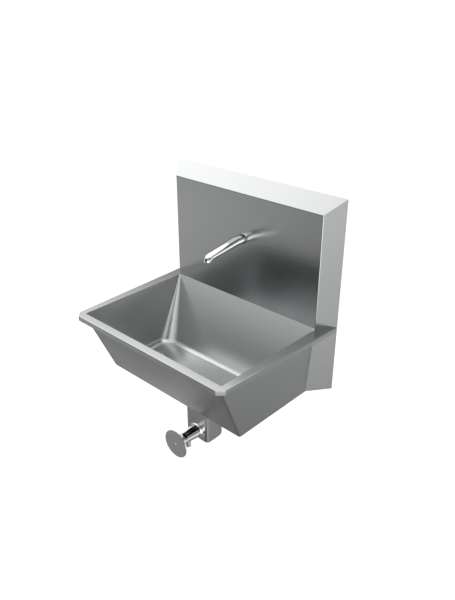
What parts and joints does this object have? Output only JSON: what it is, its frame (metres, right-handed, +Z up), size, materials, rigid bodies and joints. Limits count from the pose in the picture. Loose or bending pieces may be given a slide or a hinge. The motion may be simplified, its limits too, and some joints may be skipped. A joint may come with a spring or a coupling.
{
  "type": "hand wash sink",
  "caption": "Wall-hung stainless steel hand wash sink with a flared splashback, chromed spout and a knee-pushed valve in a shroud below the bowl.",
  "frame": {"origin": "middle of the back at the level of the deck: on the wall's face, on the sink's middle plane", "axes": "+X along the wall to the user's right, +Y into the wall, +Z up; the user stands at -Y"},
  "size_m": [0.55, 0.4, 0.7027],
  "materials": {
    "steel": "satin brushed",
    "bracket_steel": "mill finish",
    "pad_steel": "satin",
    "fastener_steel": "bright drawn",
    "chrome": "polished plate",
    "brass": "machined",
    "copper": "drawn copper tube",
    "rubber": "matte black",
    "plastic": "natural nylon"
  },
  "bodies": {
    "sink": {"bowl_deck": "steel", "casing": "steel", "base_panel": "steel", "splashback": "steel", "service_shroud": "steel", "wall_rail": "bracket_steel", "wall_hanger": "bracket_steel", "earth_tag": "bracket_steel", "waste_screw": "fastener_steel", "shroud_screws": "fastener_steel", "threaded_inserts": "fastener_steel", "earth_bolt": "fastener_steel", "earth_nut": "fastener_steel", "return_spring": "fastener_steel", "spout": "chrome", "valve_body": "chrome", "valve_rose": "chrome", "valve_collar": "chrome", "adjuster_cap": "chrome", "waste_body": "chrome", "waste_grid": "chrome", "waste_backnut": "brass", "valve_backnut": "brass", "pipe_union_nut": "brass", "spout_backnut": "brass", "spout_elbow": "brass", "spout_washer": "brass", "outlet_pipe": "copper", "waste_seal": "rubber", "stem_seal": "rubber", "spout_gasket": "rubber", "waste_washer": "plastic", "valve_washer": "plastic", "timing_cartridge": "plastic", "flow_straightener": "plastic"},
    "push": {"push_stem": "fastener_steel", "knee_pad": "pad_steel", "pad_screw": "fastener_steel"}
  },
  "joints": [
    {"name": "pad_push", "type": "slide", "parent": "sink", "child": "push", "axis": [0, 1, 0], "range_m": [0, 0.01], "stiffness_N_per_m": 1500, "springref_m": -0.008, "deforming": ["return_spring"]}
  ]
}
